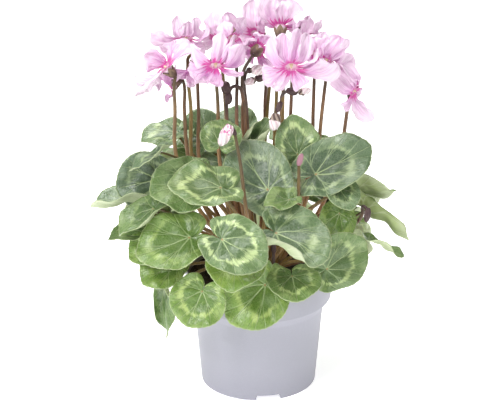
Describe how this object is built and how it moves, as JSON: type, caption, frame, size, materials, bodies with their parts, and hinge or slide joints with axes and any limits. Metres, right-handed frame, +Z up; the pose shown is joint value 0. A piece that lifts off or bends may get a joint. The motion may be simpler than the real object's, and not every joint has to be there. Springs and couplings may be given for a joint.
{
  "type": "potted cyclamen",
  "caption": "Flowering cyclamen with pale pink blooms on upright stalks over marbled heart-shaped leaves, in a tapered plastic nursery pot.",
  "frame": {"origin": "on the pot's axis, in the flat pad in the middle of the pot's underside, on the surface that it stands on", "axes": "+Z up along the pot's axis, -Y towards the front of the plant, +X towards its right as seen from the front"},
  "size_m": [0.257, 0.2439, 0.3309],
  "materials": {
    "pot": "satin lilac-grey",
    "soil": "matt dark peat",
    "stalks": "satin reddish brown to olive",
    "leaves": "waxy, green marbled with silver",
    "petals": "soft, pale pink with a magenta base",
    "buds": "soft, cream to pink"
  },
  "bodies": {
    "root": {"bloom_crown": "petals", "bloom_crown_left": "petals", "bloom_front_left": "petals", "bloom_front_right": "petals", "bloom_left": "petals", "bloom_left_high": "petals", "bloom_left_low": "petals", "bloom_middle": "petals", "bloom_middle_high": "petals", "bloom_nodding": "petals", "bloom_right": "petals", "bloom_right_cup": "petals", "bloom_turned": "petals", "bud_1": "buds", "bud_2": "buds", "bud_3": "buds", "bud_4": "buds", "bud_5": "buds", "leaf_1": "leaves", "leaf_10": "leaves", "leaf_11": "leaves", "leaf_12": "leaves", "leaf_13": "leaves", "leaf_14": "leaves", "leaf_15": "leaves", "leaf_16": "leaves", "leaf_17": "leaves", "leaf_18": "leaves", "leaf_19": "leaves", "leaf_2": "leaves", "leaf_20": "leaves", "leaf_21": "leaves", "leaf_24": "leaves", "leaf_25": "leaves", "leaf_26": "leaves", "leaf_27": "leaves", "leaf_28": "leaves", "leaf_29": "leaves", "leaf_31": "leaves", "leaf_5": "leaves", "leaf_8": "leaves", "leaf_9": "leaves", "leaves_back_1": "leaves", "leaves_back_10": "leaves", "leaves_back_11": "leaves", "leaves_back_2": "leaves", "leaves_back_3": "leaves", "leaves_back_4": "leaves", "leaves_back_5": "leaves", "leaves_back_6": "leaves", "leaves_back_7": "leaves", "leaves_back_8": "leaves", "leaves_back_9": "leaves", "leaves_left": "leaves", "leaves_low_left": "leaves", "leaves_right": "leaves", "leaves_rim_left": "leaves", "pot": "pot", "soil": "soil", "tuber_and_stalks": "stalks"}
  },
  "joints": []
}
